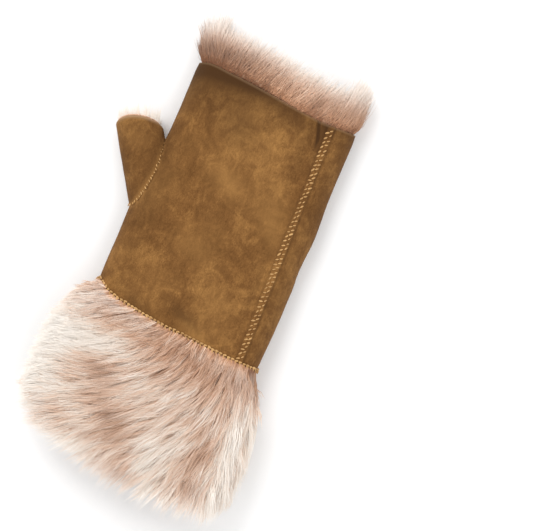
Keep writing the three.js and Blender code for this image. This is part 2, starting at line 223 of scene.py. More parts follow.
def thumbPoints(share, along, inset):
    fromHand = read(thumb["sections"], "fromHand", along)
    width = read(thumb["sections"], "width", along) * thumb["width"]
    depth = thumb["depth"] + (2 * hand["sideRadius"] * thumb["rootDepth"] - thumb["depth"]) * fromHand
    low = thumb["depth"] / 2 + thumb["rise"]
    height = low + (hand["sideRadius"] + thumb["rootRise"] - low) * fromHand
    turn = share * 2 * math.pi
    side, up = (width / 2 - inset) * np.cos(turn), (depth / 2 - inset) * np.sin(turn)
    hem = thumb["slant"] * side + thumb["lean"] * up - thumb["bow"] * (2 * side / thumb["width"]) ** 2
    hem = hem * np.clip(along, 0, 1)
    ahead = -thumb["tuck"] + (thumb["length"] + thumb["tuck"]) * along + hem
    root = np.array([thumb["rootAcross"] * hand["width"] / 2, (thumb["rootAlong"] - 0.5) * hand["length"], 0])
    place = root + ahead[..., None] * thumbAxis + side[..., None] * thumbSide
    place[..., 2] += height + up
    return place


# ways of making pieces


def placesOf(piece, what="co"):
    # the places of a piece's points, or their normals
    flat = np.empty(len(piece.data.vertices) * 3, np.float32)
    piece.data.vertices.foreach_get(what, flat)
    return flat.reshape(-1, 3).astype(float)


def setPlaces(piece, places):
    piece.data.vertices.foreach_set("co", np.asarray(places, np.float32).ravel())
    piece.data.update()


def chosen(piece):
    bpy.ops.object.select_all(action="DESELECT")
    bpy.context.view_layer.objects.active = piece
    piece.select_set(True)


def inEdit(piece, *steps):
    # runs edit-mode steps on the whole of a piece
    chosen(piece)
    bpy.ops.object.mode_set(mode="EDIT")
    bpy.ops.mesh.select_all(action="SELECT")
    for step, options in steps:
        step(**options)
    bpy.ops.object.mode_set(mode="OBJECT")


def finished(piece, kind, **settings):
    # adds a modifier and applies it
    chosen(piece)
    added = piece.modifiers.new(kind.title(), kind)
    for key, value in settings.items():
        setattr(added, key, value)
    bpy.ops.object.modifier_apply(modifier=added.name)


def laid(name, across, along, place):
    # a flat grid laid round a form: place turns its corners, as shares of the grid, into points
    bpy.ops.object.select_all(action="DESELECT")
    bpy.ops.mesh.primitive_grid_add(x_subdivisions=across, y_subdivisions=along, size=1)
    piece = bpy.context.object
    piece.name = name
    shares = placesOf(piece)[:, :2] + 0.5
    setPlaces(piece, place(shares[:, 0], shares[:, 1]))
    inEdit(piece, (bpy.ops.mesh.remove_doubles, {"threshold": 0.001 * mm}))
    return piece


def facingOut(piece):
    inEdit(piece, (bpy.ops.mesh.normals_make_consistent, {"inside": False}))
    return piece


def capped(piece):
    # closes the open ends of a tube
    inEdit(
        piece,
        (bpy.ops.mesh.select_all, {"action": "DESELECT"}),
        (bpy.ops.mesh.select_non_manifold, {}),
        (bpy.ops.mesh.fill_holes, {"sides": 0}),
    )
    return facingOut(piece)


def thickened(piece):
    # gives a tube of hide its thickness, inwards, and rounds its edges
    facingOut(piece)
    finished(piece, "SOLIDIFY", thickness=hand["hide"], offset=-1, use_rim=True, use_even_offset=True)
    sharp = math.radians(60)
    finished(piece, "BEVEL", width=hand["rim"], segments=2, limit_method="ANGLE", angle_limit=sharp)
    return piece


def cutBy(piece, form):
    # takes a closed form out of a piece
    finished(piece, "BOOLEAN", operation="DIFFERENCE", object=form, solver="EXACT")
    bpy.data.objects.remove(form)


def handForm(name, across, along, inset):
    # the plain form of the hand, a little longer than its hide at both ends
    return laid(name, across, along, lambda u, v: handPoints(u, v * 1.1 - 0.05, inset))


def thumbTube(name, inset, end=1.0, across=72, along=40):
    return capped(laid(name, across, along, lambda u, v: thumbPoints(u, v * end, inset)))


def treeOf(places):
    tree = kdtree.KDTree(len(places))
    for i, place in enumerate(places):
        tree.insert(place, i)
    tree.balance()
    return tree


def awayFrom(line, places):
    # how far each place is from the nearest point of a line
    tree = treeOf(line)
    return np.array([tree.find(place)[2] for place in places])


def smooth(piece, angle=60):
    chosen(piece)
    bpy.ops.object.shade_smooth_by_angle(angle=math.radians(angle))


def ripple(places, size, seed):
    # soft unevenness from -1 to 1
    return np.array([noise.noise(Vector(p) / size + Vector((seed, 0, 0))) for p in places])


def unit(rows):
    return rows / (np.linalg.norm(rows, axis=-1, keepdims=True) + 1e-12)


def meshOf(name, places, corners, maps=None, normals=None):
    # a joined mesh from arrays of points and triangles, with a place in the map for each point
    # and a normal for each corner of each triangle
    mesh = bpy.data.meshes.new(name)
    mesh.vertices.add(len(places))
    mesh.vertices.foreach_set("co", np.asarray(places, np.float32).ravel())
    mesh.loops.add(corners.size)
    mesh.loops.foreach_set("vertex_index", corners.ravel().astype(np.int32))
    mesh.polygons.add(len(corners))
    mesh.polygons.foreach_set("loop_start", np.arange(0, corners.size, 3, dtype=np.int32))
    mesh.update(calc_edges=True)
    mesh.polygons.foreach_set("use_smooth", np.ones(len(corners), bool))
    if maps is not None:
        layer = mesh.uv_layers.new(name="OFBake")
        layer.uv.foreach_set("vector", maps[corners.ravel()].astype(np.float32).ravel())
    if normals is not None:
        mesh.normals_split_custom_set(normals.astype(np.float32))
    piece = bpy.data.objects.new(name, mesh)
    bpy.context.scene.collection.objects.link(piece)
    return piece


strand = {
    "taper": 0.65,
    "height": 1.2,  # of a strand's section, in half widths
    "edges": 0.3,  # how far the shading of its lower edges turns down
    "facesUp": 0.8,  # how far its shading leans towards the way the fur faces
    "softness": 1.2,  # how far its upper sides are shaded as one
    "underside": 0.5,
    "tints": 0.004,
    "map": (0.02, 0.9, 0.06),  # v at a dark root, and what paleness and the place along the strand add
}


def perCorner(rows):
    # what each station has, for the three corners of its ring and once for the tip
    return np.concatenate([np.repeat(rows[:, :-1], 3, 1), rows[:, -1:]], 1)


def strands(name, paths, widths, up, tint, pale):
    # hairs as closed three-sided tapering tubes: paths is hairs x stations x 3, the last station is the tip,
    # up is the way the fur faces, and pale says how far each station is from root dark, 0, to tip white, 1;
    # the two upper sides are shaded towards up, and the lower one away from it
    count, stations = paths.shape[:2]
    ahead = unit(np.gradient(paths, axis=1))
    side = unit(np.cross(ahead, up[:, None, :]))
    top = np.cross(side, ahead)
    taper = np.linspace(1, 0, stations) ** strand["taper"]
    half = widths[:, None, None] / 2 * taper[None, :, None]
    ridge = paths + top * half * strand["height"]
    rings = np.stack([paths - side * half, paths + side * half, ridge], 2)[:, :-1]
    places = np.concatenate([rings.reshape(count, -1, 3), paths[:, -1:]], 1)
    down = strand["edges"] * top
    around = np.stack([-side - down, side - down, top], 2)[:, :-1].reshape(count, -1, 3)
    coat = perCorner(unit(top + strand["facesUp"] * up[:, None, :]))
    facing = unit(np.concatenate([around, top[:, -1:]], 1) + strand["softness"] * coat).reshape(-1, 3)
    behind = np.concatenate([around, 0 * top[:, -1:]], 1) * strand["underside"]
    behind = unit(behind - coat).reshape(-1, 3)
    tip = 3 * (stations - 1)
    sides = [(a, (a + 1) % 3) for a in range(3)]
    one = []
    for low in range(0, tip - 3, 3):
        for a, b in sides:
            one += [(low + a, low + 3 + b, low + b), (low + a, low + 3 + a, low + 3 + b)]
    one += [(tip - 3 + a, tip, tip - 3 + b) for a, b in sides] + [(0, 1, 2)]
    lower = np.tile([all(k % 3 < 2 for k in face) for face in one], count)
    corners = (np.array(one)[None] + np.arange(count)[:, None, None] * (tip + 1)).reshape(-1, 3)
    normals = np.where(np.repeat(lower, 3)[:, None], behind[corners.ravel()], facing[corners.ravel()])
    tint = np.clip(tint, 0.03, 0.97)
    u = np.stack([tint - strand["tints"], tint + strand["tints"], tint], 1)
    u = np.concatenate([np.tile(u, (1, stations - 1)), tint[:, None]], 1)
    root, paleness, along = strand["map"]
    v = perCorner(root + paleness * np.clip(pale, 0, 1) + along * np.linspace(0, 1, stations))
    maps = np.stack([u, v], -1).reshape(-1, 2)
    return meshOf(name, places.reshape(-1, 3), corners, maps, normals)


def copies(name, pattern, frames, uneven):
    # one modelled piece copied to each frame (count x 3 x 4) and joined, each a little out of true by hand
    places = placesOf(pattern)
    frames = frames.copy()
    count = len(frames)
    twist = uneven * dice.normal(size=count)
    c, s = np.cos(twist)[:, None], np.sin(twist)[:, None]
    ahead, side = frames[:, :, 0].copy(), frames[:, :, 1].copy()
    size = 1 + 0.6 * uneven * dice.normal(size=(count, 1))
    frames[:, :, 0], frames[:, :, 1] = (ahead * c + side * s) * size, (side * c - ahead * s) * size
    frames[:, :, 3] += 0.9 * mm * uneven * dice.normal(size=(count, 3)) * np.array([1, 1, 0.3])
    pattern.data.calc_loop_triangles()
    corners = np.array([tuple(triangle.vertices) for triangle in pattern.data.loop_triangles])
    everywhere = np.einsum("fij,pj->fpi", frames[:, :, :3], places) + frames[:, None, :, 3]
    shift = np.arange(count)[:, None, None] * len(places)
    piece = meshOf(name, everywhere.reshape(-1, 3), (corners[None] + shift).reshape(-1, 3))
    bpy.data.objects.remove(pattern)
    return piece


# materials


class Value:
    # a socket in a material, so that sums on it read as sums
    def __init__(self, finish, socket):
        self.finish = finish
        self.socket = socket

    def sum(self, operation, first, second):
        return self.finish.node("Math", {"operation": operation}, {0: first, 1: second})

    def __add__(self, other):
        return self.sum("ADD", self, other)

    def __sub__(self, other):
        return self.sum("SUBTRACT", self, other)

    def __rsub__(self, other):
        return self.sum("SUBTRACT", other, self)

    def __mul__(self, other):
        return self.sum("MULTIPLY", self, other)

    def __pow__(self, other):
        return self.sum("POWER", self, other)

    __radd__ = __add__
    __rmul__ = __mul__


class Finish:
    # a material, its shader and the one way of adding nodes to it
    def __init__(self, name):
        self.material = bpy.data.materials.new(name)
        self.material.use_nodes = True
        self.tree = self.material.node_tree
        self.shader = self.tree.nodes["Principled BSDF"]

    def node(self, kind, settings=None, inputs=None, output=0):
        made = self.tree.nodes.new("ShaderNode" + kind)
        for key, value in (settings or {}).items():
            if key == "stops":
                ramp = made.color_ramp.elements
                while len(ramp) < len(value):
                    ramp.new(0.5)
                for stop, (at, colour) in zip(ramp, value):
                    stop.position = at
                    stop.color = (*colour, 1)
            else:
                setattr(made, key, value)
        for key, value in (inputs or {}).items():
            self.feed(made.inputs[key], value)
        return Value(self, made.outputs[output])

    def feed(self, socket, value):
        if isinstance(value, Value):
            self.tree.links.new(value.socket, socket)
        else:
            socket.default_value = value

    def set(self, **inputs):
        for key, value in inputs.items():
            self.feed(self.shader.inputs[key.replace("_", " ")], value)

    def sheen(self, weight, roughness, tint):
        self.set(Sheen_Weight=weight, Sheen_Roughness=roughness, Sheen_Tint=(*tint, 1))

    def grain(self, size, detail=2.0, roughness=0.5, stretch=None, warp=0.0):
        # noise whose lumps are about size across, from 0 to 1
        where = self.node("TexCoord", output="Object")
        if stretch:
            where = self.node("Mapping", None, {"Vector": where, "Scale": stretch})
        wanted = {"Vector": where, "Scale": 1 / size, "Detail": detail, "Roughness": roughness}
        return self.node("TexNoise", None, wanted | {"Distortion": warp})

    def blend(self, factor, first, second, way="MIX"):
        settings = {"data_type": "RGBA", "blend_type": way}
        return self.node("Mix", settings, {0: factor, 6: first, 7: second}, 2)

    def ramp(self, factor, *stops):
        return self.node("ValToRGB", {"stops": stops}, {0: factor})

    def bump(self, height, distance, strength=1.0, under=None):
        wanted = {"Height": height, "Distance": distance, "Strength": strength}
        if under:
            wanted["Normal"] = under
        return self.node("Bump", None, wanted)


suedeColours = {
    # main, shade and light are the suede's own tones; light is also what the wear layer's painted highlight
    # lightens to, and deep is the colour of painted shade
    "deep": (0.060, 0.026, 0.008),
    "shade": (0.118, 0.051, 0.0135),
    "main": (0.172, 0.078, 0.0225),
    "light": (0.325, 0.162, 0.049),
    "edge": (0.36, 0.23, 0.13),
}


def suedeFinish():
    finish = Finish("caramel_suede")
    cloudy = finish.grain(46 * mm, 3.0, 0.55, warp=0.4)
    patchy = finish.grain(13 * mm, 4.0, 0.62, warp=1.0)
    brushed = finish.grain(5 * mm, 3.0, 0.65, stretch=(1.0, 0.3, 1.0), warp=0.8)
    nap = finish.grain(1.3 * mm, 3.0, 0.7, stretch=(1.0, 0.55, 1.0), warp=1.4)
    fibre = finish.grain(0.4 * mm, 2.0, 0.7)
    tone = cloudy * 0.36 + patchy * 0.34 + brushed * 0.18 + nap * 0.12
    tones = [suedeColours[key] for key in ("shade", "main", "light")]
    colour = finish.ramp(tone, *zip((0.4, 0.5, 0.64), tones))
    speck = finish.ramp(nap * 0.65 + fibre * 0.35, (0.33, (0.74, 0.71, 0.66)), (0.65, (1.2, 1.2, 1.2)))
    colour = finish.blend(1.0, colour, speck, "MULTIPLY")
    # short worm-like creases where the skin has been crushed, pressed into the bump and darkened towards the
    # shade tone as painted shade
    ridge = finish.grain(6 * mm, 1.0, 0.5, warp=2.2) - 0.5
    ridge = finish.node("Math", {"operation": "ABSOLUTE"}, {0: ridge})
    creased = finish.ramp(ridge, (0.0, (1, 1, 1)), (0.022, (0, 0, 0)))
    where = finish.ramp(finish.grain(21 * mm, 1.0, 0.5), (0.5, (0, 0, 0)), (0.66, (0.5, 0.5, 0.5)))
    lines = creased * where
    colour = finish.blend(lines, colour, (*suedeColours["shade"], 1))
    # the wear layer lightens towards the light tone, as rubbed nap and painted highlight; the fold layer
    # darkens towards the deep tone as painted shade; the raw layer is the paler cut edge
    layers = ("wear", 0.55 + patchy * 0.9, "light"), ("fold", 1.0, "deep"), ("raw", 1.0, "edge")
    for layer, much, key in layers:
        there = finish.node("Attribute", {"attribute_name": layer}, output="Fac")
        colour = finish.blend(there * much, colour, (*suedeColours[key], 1))
    crushed = finish.bump(brushed * 0.6 + nap * 0.4 - lines * 0.25, 0.8 * mm, 0.6)
    normal = finish.bump(fibre, 0.12 * mm, 0.7, crushed)
    finish.set(Base_Color=colour, Roughness=0.82 + patchy * 0.16, Normal=normal)
    finish.set(Specular_IOR_Level=0.12)
    finish.sheen(0.06, 0.5, (0.9, 0.62, 0.38))
    return finish.material


hairColours = {  # from the darkest, as the ramps take them
    "dark": (0.27, 0.135, 0.075),
    "taupe": (0.52, 0.295, 0.18),
    "pink": (0.78, 0.51, 0.35),
    "pale": (0.91, 0.77, 0.65),
    "cream": (0.97, 0.905, 0.83),
    "tip": (0.98, 0.95, 0.905),
}


def hairFinish(name, tips, roots=0.84):
    # u in the piece's own map is a hair's tint, from dark to cream, and v runs from root dark to tip white;
    # the dark roots are partly the fur's own darker base and partly painted shade deep among the hairs
    finish = Finish(name)
    spot = finish.node("UVMap", {"uv_map": "OFBake"})
    tint = finish.node("SeparateXYZ", None, {0: spot}, 0)
    reach = finish.node("SeparateXYZ", None, {0: spot}, 1)
    colour = finish.ramp(tint, *zip((0.0, 0.28, 0.55, 0.78, 1.0), hairColours.values()))
    # partly painted shade: the roots darker and warmer, as deep in the fur
    shaded = finish.ramp(reach, (0.0, (roots, roots * 0.83, roots * 0.7)), (0.34, (1, 1, 1)))
    colour = finish.blend(1.0, colour, shaded, "MULTIPLY")
    colour = finish.blend(reach**2.0 * tips, colour, (*hairColours["tip"], 1))
    finish.set(Base_Color=colour, Roughness=0.6, Specular_IOR_Level=0.2)
    finish.sheen(0.2, 0.4, (1.0, 0.86, 0.74))
    return finish.material


def coatFinish(name, tint):
    # the dense wool or undercoat that fills between the hairs
    finish = Finish(name)
    cloud = finish.grain(16 * mm, 3.0, 0.6)
    tuft = finish.grain(3.0 * mm, 3.0, 0.6, warp=1.5)
    fine = finish.grain(0.6 * mm, 2.0, 0.7)
    tone = cloud * 0.4 + tuft * 0.35 + fine * 0.25 + (tint - 0.5) * 0.3
    colour = finish.ramp(tone, *zip((0.3, 0.45, 0.58, 0.75), hairColours.values()))
    normal = finish.bump(tuft, 1.2 * mm, 0.8)
    normal = finish.bump(fine, 0.3 * mm, 0.8, normal)
    finish.set(Base_Color=colour, Roughness=0.9 + fine * 0.1, Normal=normal)
    finish.sheen(0.15, 0.4, (1.0, 0.8, 0.66))
    return finish.material


threadColours = {"dark": (0.3, 0.15, 0.045), "light": (0.66, 0.39, 0.15)}


def threadFinish():
    finish = Finish("golden_thread")
    ply = finish.grain(0.35 * mm, 1.0, 0.5)
    length = finish.grain(9 * mm)
    tone = length * 0.5 + ply * 0.5
    colour = finish.ramp(tone, (0.35, threadColours["dark"]), (0.62, threadColours["light"]))
    finish.set(Base_Color=colour, Roughness=0.5 + ply * 0.2, Normal=finish.bump(ply, 0.1 * mm, 0.7))
    finish.set(Specular_IOR_Level=0.4)
    return finish.material


suede = suedeFinish()
furHair = hairFinish("fur_hair", 0.9)
woolHair = hairFinish("wool_hair", 0.8)
# the wool coat and the fur's undercoat are tinted dark, partly as their own colour and partly as painted
# shade at the base of the hairs
woolCoat = coatFinish("wool_coat", 0.05)
thumbCoat = coatFinish("thumb_wool_coat", 0.6)
furCoat = coatFinish("fur_undercoat", 0.15)
thread = threadFinish()
print("materials made")


def dressed(piece, material, slot, *nodes):
    piece.data.materials.clear()
    piece.data.materials.append(material)
    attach(piece, "root")
    if nodes:
        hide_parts(*nodes)


def shade(piece, name, values):
    layer = piece.data.attributes.new(name, "FLOAT", "POINT")
    layer.data.foreach_set("value", np.clip(values, 0, 1).astype(np.float32))


# hide of the hand

hide = {
    "across": 190,
    "along": 96,
    "around": 2 * (114 + 15.4) * mm,
    "gathered": 0.8,  # how much closer the mesh lies at the side seam
    "ridge": 0.6 * mm,  # the side seam's whipped edges stand up
    "ridgeReach": 1.8 * mm,
    "groove": 0.3 * mm,  # between the two edges, and on both sides of them
    "grooveReach": 0.5 * mm,
    "besideSeam": 3.0 * mm,
    "besideReach": 0.9 * mm,
    "hemDip": 0.5 * mm,
    "hemReach": 3.0 * mm,
    "cuffDip": 0.3,  # share of the dip that the cuff's end of the hide has
    "softness": 0.55 * mm,
    "foldDepth": 0.7 * mm,
}
# the fold is dipped into the hide, and painted shade is laid along it in the suede's colour
fold = {  # runs down from the finger hem beside the side seam: from and over are places along the mitten
    "away": 5.6 * mm,
    "further": 2.8 * mm,
    "turn": {"start": 67 * mm, "over": 9.6 * mm},
    "line": {"start": 60 * mm, "over": 8 * mm, "reach": 1.0 * mm},
    "wide": {"start": 34 * mm, "over": 32 * mm, "reach": 2.8 * mm, "away": 4.2 * mm},
}


def sideSeamShare(along):
    # where the side seam runs, as a share of the way round the section
    ways = np.linspace(0, 0.3, 200)
    lean = math.tan(math.radians(hand["sideSeamLean"]))
    found = []
    for at in along:
        x = handPoints(ways, ways * 0 + at, 0)[:, 0]
        wanted = hand["sideSeam"] + lean * (0.5 - at) * hand["length"]
        found.append(np.interp(-wanted, -x, ways))
    return np.array(found)


seamRun = np.linspace(0, 1, 30)
seamShares = sideSeamShare(seamRun)


def seamAt(along):
    return np.interp(along, seamRun, seamShares)


def foldBeside(fromSeam, y):
    # the fold's line, and the soft hollow round it
    turn, line, wide = fold["turn"], fold["line"], fold["wide"]
    away = fold["away"] + fold["further"] * np.clip((y - turn["start"]) / turn["over"], 0, 1.2)
    sharp = hump(fromSeam - away, line["reach"]) * ramped(y, line["start"], line["over"])
    return sharp, hump(fromSeam - wide["away"], wide["reach"]) * ramped(y, wide["start"], wide["over"])


def hidePoints(share, along):
    places = handPoints(share, along, 0.0)
    fromSeam = ((share - seamAt(along) + 0.5) % 1 - 0.5) * hide["around"]
    fromHem = np.minimum(along, 1 - along) * hand["length"]
    raised = hide["ridge"] * hump(fromSeam, hide["ridgeReach"])
    raised -= hide["groove"] * hump(fromSeam, hide["grooveReach"])
    raised -= hide["groove"] * hump(np.abs(fromSeam) - hide["besideSeam"], hide["besideReach"])
    raised -= hide["hemDip"] * hump(fromHem, hide["hemReach"]) * np.where(along > 0.5, 1, hide["cuffDip"])
    line, wide = foldBeside(fromSeam, places[:, 1])
    raised -= hide["foldDepth"] * (line + wide)
    soft = ripple(places, 34 * mm, 3) + 0.45 * ripple(places, 12 * mm, 9)
    raised += hide["softness"] * soft * np.clip(fromHem / (12 * mm), 0.15, 1)
    section = handSection(along)
    rise = onSection(section, share, 0.0)[2]
    places[:, 2] += raised * np.clip(rise, 0, 1)
    middle = (section["right"] - section["left"]) / 2
    places[:, 0] += np.sign(places[:, 0] - middle) * raised * np.clip(1 - np.abs(rise), 0, 1) * 0.7
    return places


def makeHandHide():
    def place(u, v):
        close = u - hide["gathered"] * np.sin(2 * math.pi * u) / (2 * math.pi)
        return hidePoints(seamAt(v) + close, v)

    return thickened(laid("hand_hide", hide["across"], hide["along"], place))


handHide = makeHandHide()
handShape = handForm("hand_shape", 120, 60, 0)
handTree = BVHTree.FromObject(handShape, bpy.context.evaluated_depsgraph_get())
cutBy(handHide, thumbTube("thumb_hole", -0.15 * mm))
print("hand hide made")

# hide of the thumb


def thumbOut(share):
    # the ways that face out of the thumb
    turn = share * 2 * math.pi
    return np.cos(turn)[:, None] * thumbSide + np.sin(turn)[:, None] * np.array([0, 0, 1])


def makeThumbHide():
    def place(u, v):
        points = thumbPoints(u, v, 0)
        return points + thumbOut(u) * (0.25 * mm * ripple(points, 9 * mm, 21))[:, None]

    piece = thickened(laid("thumb_hide", 84, 60, place))
    cutBy(piece, capped(handForm("hand_core", 120, 60, 0.9 * mm)))
    return piece


thumbHide = makeThumbHide()
print("thumb hide made")


def thumbSeamLine():
    # where the thumb's face meets the hand's, followed along lines down the thumb
    found = []
    for share in np.linspace(0, 1, 160):
        path = thumbPoints(np.full(60, share), np.linspace(1, 0, 60), 0.0)
        for start, end in zip(path[:-1], path[1:]):
            step = Vector(end - start)
            hit = handTree.ray_cast(Vector(start), step.normalized(), step.length)
            if hit[0] is not None:
                found.append((*hit[0], *hit[1]))
                break
    return np.array(found)


thumbSeam = thumbSeamLine()


nap = {
    "cloudy": 0.3,
    "cloud": 30 * mm,
    "wear": 1.25,
    "wearAndHighlightSpots": 0.55,
    "rubbed": 0.7,  # along the thumb's seam
    "rubbedReach": 2.0 * mm,
    "hemShade": 1.15,
    "hemShadowLine": 0.42,
    "thumbDark": 0.12,
    "foldShadowLine": 0.95,
    "foldShadeWide": 0.5,
    # painted shade in the grooves beside the side seam's edges
    "besideSeam": 0.3,
    "outerStripShade": 0.18,
    "turnedDownShade": 0.3,
    "wornAndHighlit": [  # x, y, reach in x and y, turn, how much
        (-8, 20, 17, 9, -25, 0.75), (30, 2, 16, 8, -40, 0.55), (-10, -28, 15, 8, -15, 0.55),
        (10, -76, 14, 3.5, -25, 0.5), (-72, 22, 10, 8, 0, 0.35), (8, 45, 9, 14, 20, 0.35),
        (22, 20, 10, 14, 30, 0.4), (-25, -55, 18, 8, 20, 0.25), (15, -50, 12, 7, -30, 0.25),
    ],
    "foldShadeSpots": [
        (-49, -5, 8, 55, 4, 0.22), (2, -70, 13, 4, -22, 0.5), (-30, -74, 12, 4, -25, 0.35),
        (-14, 52, 12, 12, 0, 0.28), (28, 52, 5, 16, 0, 0.2), (36, -40, 4, 20, 2, 0.18),
        (-76, 2, 8, 16, 30, 0.25), (18, 70, 14, 6, -10, 0.25),
    ],
}


def shadeHide(piece):
    # the nap is rubbed pale along the thumb's seam, and a painted highlight lightens clouds and spots on the
    # crown and other upward faces; painted shade darkens folds, hollows, the side seam's strips, down-turned
    # sides and the part towards the finger hem
    places, normals = placesOf(piece), placesOf(piece, "normal")
    x, y = places[:, 0] / mm, places[:, 1] / mm
    # rubbed nap and painted highlight: lighter clouds and spots on upward faces only, where light falls, and
    # rubbed nap along the thumb's seam
    wear = nap["cloudy"] * np.clip(ripple(places, nap["cloud"], 41) + 0.05, 0, 1)
    wear += nap["wearAndHighlightSpots"] * spots(x, y, nap["wornAndHighlit"])
    wear += nap["rubbed"] * hump(awayFrom(thumbSeam[:, :3], places), nap["rubbedReach"])
    shade(piece, "wear", nap["wear"] * wear * (normals[:, 2] > 0.1))
    low, high = seamY(places[:, 0]), hemY(places[:, 0])
    along = (places[:, 1] - low) / (high - low)
    # painted shade: darker towards the finger hem on the thumb side, and a painted shadow line along the hem;
    # the thumb's hide is a little darker all over
    dark = nap["hemShade"] * ramped(along, 0.74, 0.26) ** 1.2 * ramped(x, 28, -75)
    dark += nap["hemShadowLine"] * hump(1 - along, 0.04) + nap["thumbDark"] * (piece == thumbHide)
    # painted shade in the folds and hollows of the hide
    dark += spots(x, y, nap["foldShadeSpots"])
    fromSeam = hand["sideSeam"] - math.tan(math.radians(hand["sideSeamLean"])) * places[:, 1] - places[:, 0]
    # painted shade in the fold beside the side seam, in the grooves beside its stitches and over the strip
    # beyond it, which turns away
    line, wide = foldBeside(fromSeam, places[:, 1])
    shadeBySeam = nap["foldShadowLine"] * line + nap["foldShadeWide"] * wide
    shadeBySeam += nap["besideSeam"] * hump(np.abs(fromSeam) - 2.7 * mm, 0.8 * mm)
    shadeBySeam += nap["outerStripShade"] * (fromSeam < -2 * mm)
    # painted shade only on faces that look up, and more painted shade on sides that turn down
    dark = (dark + (piece == handHide) * shadeBySeam) * (normals[:, 2] > 0)
    shade(piece, "fold", dark + nap["turnedDownShade"] * ramped(normals[:, 2], 0.35, -0.35))


def shadeRim(piece, rim, much):
    # the cut edge of the hide is paler than its face
    away = awayFrom(rim, placesOf(piece))
    shade(piece, "raw", much * np.clip(1.6 - away / (0.9 * mm), 0, 1))


ring = np.linspace(0, 1, 600)
rims = handPoints(ring, 0 * ring + 1, 1.0 * mm), thumbPoints(ring, 0 * ring + 1, 0.5 * mm)
for piece, node, rim, much in (
    (handHide, "hand_panel", rims[0], 0.3),
    (thumbHide, "thumb_panel", rims[1], 0.85),
):
    shadeHide(piece)
    shadeRim(piece, rim, much)
    smooth(piece, 40)
    dressed(piece, suede, "suede", node)

# wool inside the hand and the thumb

wool = {
    "lumps": 0.5 * mm,
    "lump": 7 * mm,
    "under": 1.0 * mm,  # how far the coat lies under the roots of the fringe
}
woolProfile = {  # out of the hem, over the bulge and back inside: millimetres past the hem, and inwards
    "step": [0.0, 0.3, 0.42, 0.46, 0.52, 0.6, 0.68, 0.73, 0.78, 0.84, 0.9, 1.0],
    "past": [-160, -20, 0, 1.0, 4.5, 9.5, 14, 16.5, 15, 8, -4, -160],
    "inset": [2.3, 2.3, 2.3, 1.6, -0.4, -0.3, 1.6, 4.6, 7.4, 8.4, 8.3, 8.3],
}
thumbProfile = {
    "step": [0.0, 0.36, 0.44, 0.52, 0.6, 0.66, 0.72, 0.8, 1.0],
    "past": [-60, -6, 0.0, 0.8, 1.6, 1.9, 1.2, -3, -60],
    "inset": [2.3, 2.3, 1.9, 0.9, 1.4, 3.4, 5.2, 5.9, 5.9],
}


def offTable(places):
    places[..., 2] = np.maximum(places[..., 2], lowest)
    return places


def onProfile(profile, step):
    return [np.interp(step, profile["step"], profile[key]) * mm for key in ("past", "inset")]


def woolPoints(share, step, fluff=0.0):
    past, inset = onProfile(woolProfile, step)
    places = handPoints(share, 1 + past / hand["length"], inset - fluff)
    return offTable(places)


def makeHandWool():
    def place(u, v):
        places = woolPoints(u, v)
        loose = ramped(places[:, 1] / hand["length"], 0.47, 0.06)
        return woolPoints(u, v, (ripple(places, wool["lump"], 5) * wool["lumps"] - wool["under"]) * loose)

    piece = facingOut(laid("hand_lining", 150, 90, place))
    throat = hand["hide"] + hand["gap"] + hand["wool"] - 2.4 * mm
    cutBy(piece, thumbTube("throat", throat, 1.2, 48, 20))
    smooth(piece)
    dressed(piece, woolCoat, "wool", "hand_wool")


def pastThumb(share, past, inset):
    return thumbPoints(share, 1 + past / (thumb["length"] + thumb["tuck"]), inset)


def makeThumbWool():
    def place(u, v):
        return pastThumb(u, *onProfile(thumbProfile, v))

    piece = facingOut(laid("thumb_lining", 60, 44, place))
    cutBy(piece, capped(handForm("hand_core", 90, 40, 2.1 * mm)))
    smooth(piece)
    dressed(piece, thumbCoat, "wool", "thumb_wool")


makeHandWool()
makeThumbWool()
print("wool linings made")


def awayOf(middle, places, ways):
    # ways turned round where they lead towards a middle
    return ways * np.sign((ways * (places - np.array(middle))).sum(1))[:, None]


def grown(roots, ways, lengths, bend, stations, wave):
    # hairs that leave their roots along ways and bend over towards bend
    steps = np.linspace(0, 1, stations)[None, :, None]
    paths = roots[:, None] + lengths[:, None, None] * steps * ways[:, None]
    paths = paths + lengths[:, None, None] * 0.3 * steps**2 * bend[:, None]
    swing = np.sin(steps * dice.uniform(2, 5, (len(roots), 1, 1)) + dice.uniform(0, 6.3, (len(roots), 1, 1)))
    return paths + wave * swing * steps * dice.normal(size=(len(roots), 1, 3))


def clumped(roots, spacing, values):
    # some scattered middles, the nearest of them to each root, and its values
    count = max(int(len(roots) / spacing), 1)
    middles = dice.choice(len(roots), count, replace=False)
    tree = treeOf(roots[middles])
    nearest = np.array([tree.find(place)[1] for place in roots])
    return nearest, middles, values(count)[nearest]


def strength(table, x):
    return np.interp(x / mm, table["across"], table["much"])


def outwards(out, above, much=0.6):
    # ways out of a piece, turned up on its top and down on its underside
    return unit(out + above * np.array([0, 0, much]))


